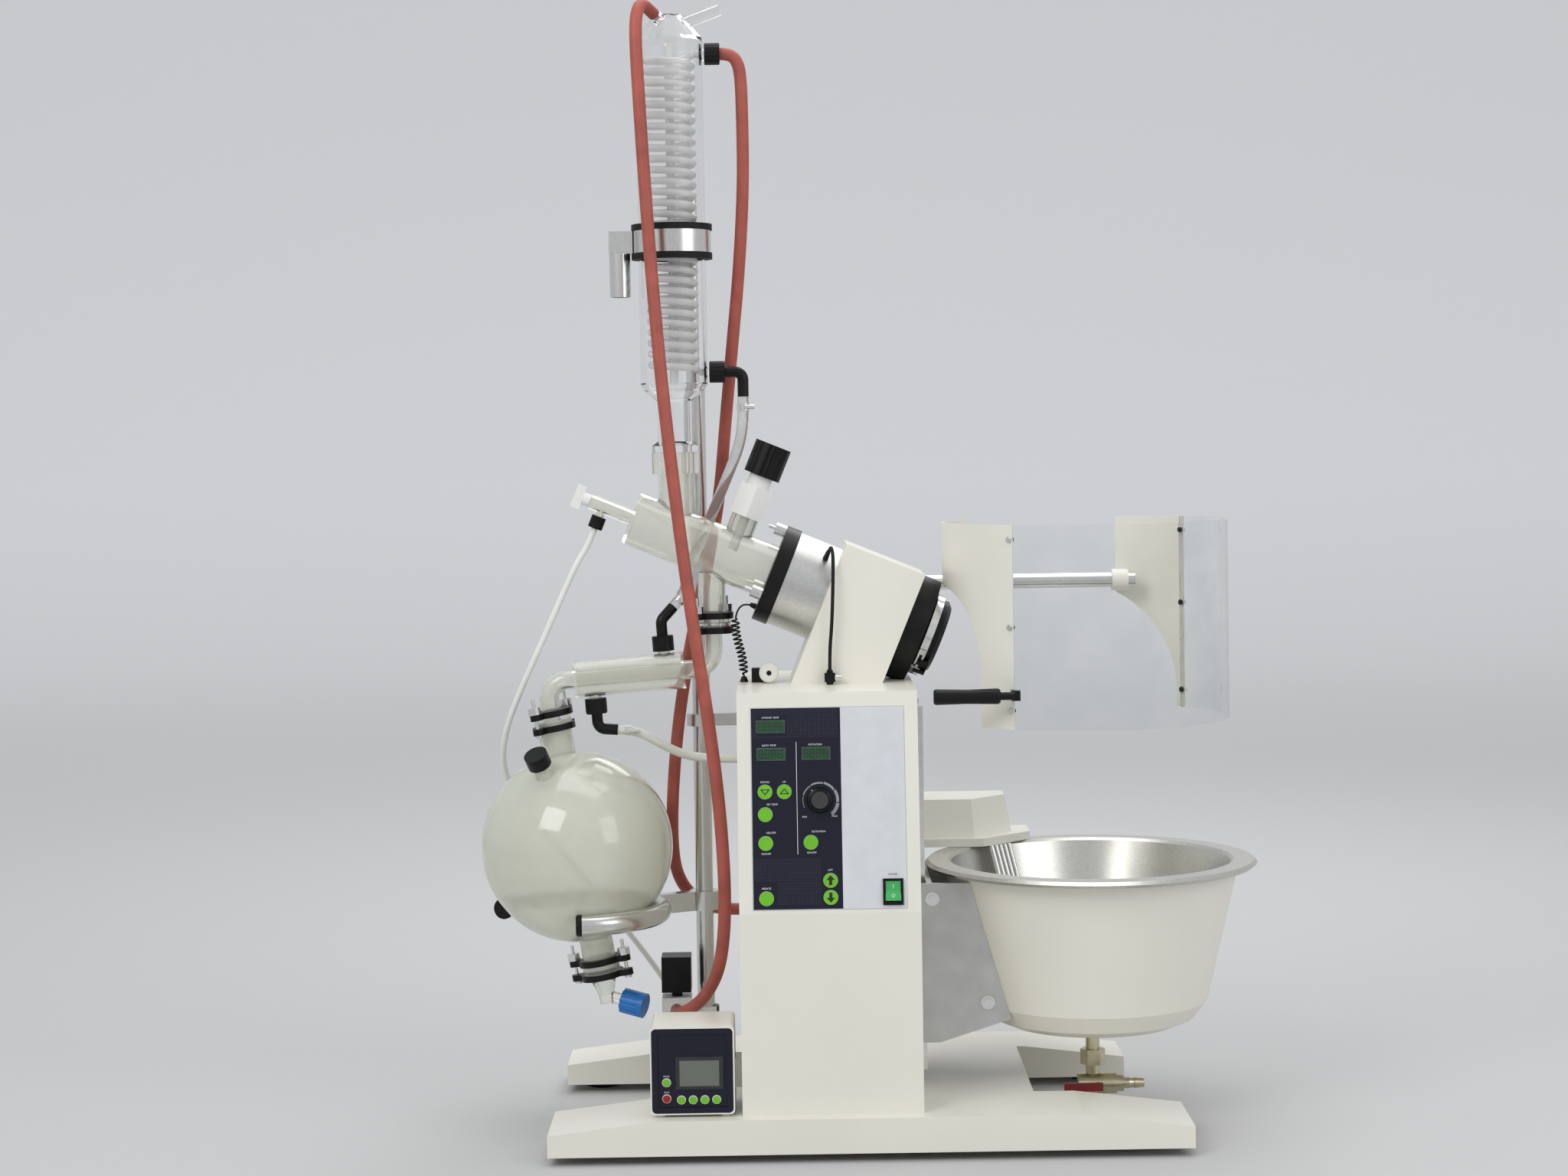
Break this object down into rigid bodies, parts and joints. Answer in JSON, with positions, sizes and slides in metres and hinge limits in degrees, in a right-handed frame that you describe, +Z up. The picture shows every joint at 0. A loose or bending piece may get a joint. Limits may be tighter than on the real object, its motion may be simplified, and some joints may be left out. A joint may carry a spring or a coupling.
{
  "type": "rotary evaporator",
  "caption": "Large floor-standing rotary evaporator with a lifting heating bath, swing-up splash shield, glass condenser, receiving flask, hoses and a vacuum controller.",
  "frame": {"origin": "centre of the footprint on the floor, under the feet", "axes": "+Z up, -Y towards the operator, +X towards the bath"},
  "size_m": [1.1189, 0.55, 1.6074],
  "materials": {
    "cream_paint": "cream-white powder coat, fine orange peel",
    "aluminium": "turned aluminium, satin",
    "stainless": "brushed stainless steel",
    "bright_steel": "bright plated steel",
    "brass_nickel": "nickel-worn brass",
    "black_plastic": "black moulded plastic",
    "black_rubber": "black rubber",
    "red_rubber": "red-brown vacuum rubber",
    "panel_foil": "printed overlay foil",
    "green_plastic": "green lit rocker",
    "coated_glass": "clear glass with a hazy protective coating",
    "clear_glass": "clear borosilicate glass",
    "clear_acrylic": "clear bent acrylic sheet",
    "white_ptfe": "white fluoropolymer",
    "blue_plastic": "blue moulded knob",
    "grey_casting": "grey painted plate",
    "braided_pvc": "clear hose with a woven braid",
    "red_lever": "dark red dipped lever"
  },
  "bodies": {
    "frame": {"base": "cream_paint", "base_feet": "black_rubber", "tower_housing": "cream_paint", "control_panel": "panel_foil", "head_cover": "cream_paint", "drive_ring": "aluminium", "coupling_guard": "black_plastic", "shaft_bearings": "bright_steel", "drive_motor": "black_plastic", "drive_belt": "black_rubber", "vapour_duct": "coated_glass", "feed_valve_body": "white_ptfe", "condenser_jacket": "clear_glass", "condenser_coil": "clear_glass", "after_cooler": "coated_glass", "receiver_flask": "coated_glass", "neck_cap": "black_plastic", "outlet_valve": "coated_glass", "joint_clamps": "black_plastic", "clamp_screws": "bright_steel", "support_pole": "stainless", "pole_bracket": "aluminium", "receiver_cradle": "stainless", "condenser_ring": "stainless", "ring_liners": "black_rubber", "ring_stub": "stainless", "lift_rails": "bright_steel", "lift_motor": "black_plastic", "hose_fittings": "black_plastic", "shield_tube": "stainless", "controller_housing": "cream_paint", "aerate_valve": "black_plastic", "red_hose_front": "red_rubber", "red_hose_right": "red_rubber", "braided_hose": "braided_pvc", "cooler_hose": "white_ptfe", "feed_tube": "white_ptfe", "sensor_cable": "black_rubber", "coil_cord": "black_rubber"},
    "bath": {"bath_casing": "cream_paint", "bath_tank": "stainless", "bath_drain": "brass_nickel", "lift_carriage": "grey_casting", "bath_arms": "grey_casting", "heater_head": "cream_paint", "heater_rods": "stainless"},
    "drain_handle": {"drain_lever": "red_lever"},
    "spindle": {"lift_spindle": "bright_steel"},
    "rotor": {"hollow_shaft": "stainless", "flask_clamp": "black_plastic", "drive_pulley": "aluminium"},
    "motor_rotor": {"motor_pulley": "aluminium"},
    "knob": {"speed_knob": "black_plastic"},
    "rocker": {"rocker_switch": "green_plastic"},
    "shield": {"shield_panels": "cream_paint", "shield_window": "clear_acrylic", "shield_grip": "black_plastic"},
    "feed_wheel": {"feed_valve_knob": "black_plastic"},
    "stopcock": {"stopcock_key": "white_ptfe"},
    "drain_wheel": {"drain_knob": "blue_plastic"}
  },
  "joints": [
    {"name": "bath_lift", "type": "slide", "parent": "frame", "child": "bath", "axis": [0, 0, 1], "range_m": [0, 0.19]},
    {"name": "drain_lever_turn", "type": "hinge", "parent": "bath", "child": "drain_handle", "pos_m": [0.3265, -0.015, 0.04], "axis": [0, 1, 0], "range_deg": [0, 90]},
    {"name": "spindle_spin", "type": "hinge", "parent": "frame", "child": "spindle", "pos_m": [0.0265, 0, 0.3], "axis": [0, 0, 1], "range_deg": [-10, 6860]},
    {"name": "shaft_spin", "type": "hinge", "parent": "frame", "child": "rotor", "pos_m": [-0.1165, 0, 0.782], "axis": [0.9239, 0, -0.3827], "continuous": true},
    {"name": "motor_spin", "type": "hinge", "parent": "frame", "child": "motor_rotor", "pos_m": [-0.15171, 0, 0.697], "axis": [0.9239, 0, -0.3827], "continuous": true},
    {"name": "speed_knob_turn", "type": "hinge", "parent": "frame", "child": "knob", "pos_m": [-0.0725, -0.22962, 0.48831], "axis": [0, -0.9912, 0.1326], "range_deg": [0, 270]},
    {"name": "rocker_tip", "type": "hinge", "parent": "frame", "child": "rocker", "pos_m": [0.0255, -0.2462, 0.36441], "axis": [1, 0, 0], "range_deg": [0, 14]},
    {"name": "shield_swing", "type": "hinge", "parent": "frame", "child": "shield", "pos_m": [0.2, 0.15, 0.764], "axis": [-1, 0, 0], "range_deg": [0, 95]},
    {"name": "feed_valve_turn", "type": "hinge", "parent": "frame", "child": "feed_wheel", "pos_m": [-0.15584, 0, 0.90653], "axis": [0.3827, 0, 0.9239], "range_deg": [0, 360]},
    {"name": "stopcock_turn", "type": "hinge", "parent": "frame", "child": "stopcock", "pos_m": [-0.4029, 0, 0.90063], "axis": [0.9239, 0, -0.3827], "range_deg": [-180, 180]},
    {"name": "drain_knob_turn", "type": "hinge", "parent": "frame", "child": "drain_wheel", "pos_m": [-0.38295, 0, 0.17937], "axis": [0.9283, -0.3094, -0.2063], "range_deg": [0, 360]}
  ],
  "couplings": [
    {"joint": "spindle_spin", "follows": "bath_lift", "rad_per_m": 628.32},
    {"joint": "motor_spin", "follows": "shaft_spin", "ratio": 2.6667}
  ]
}
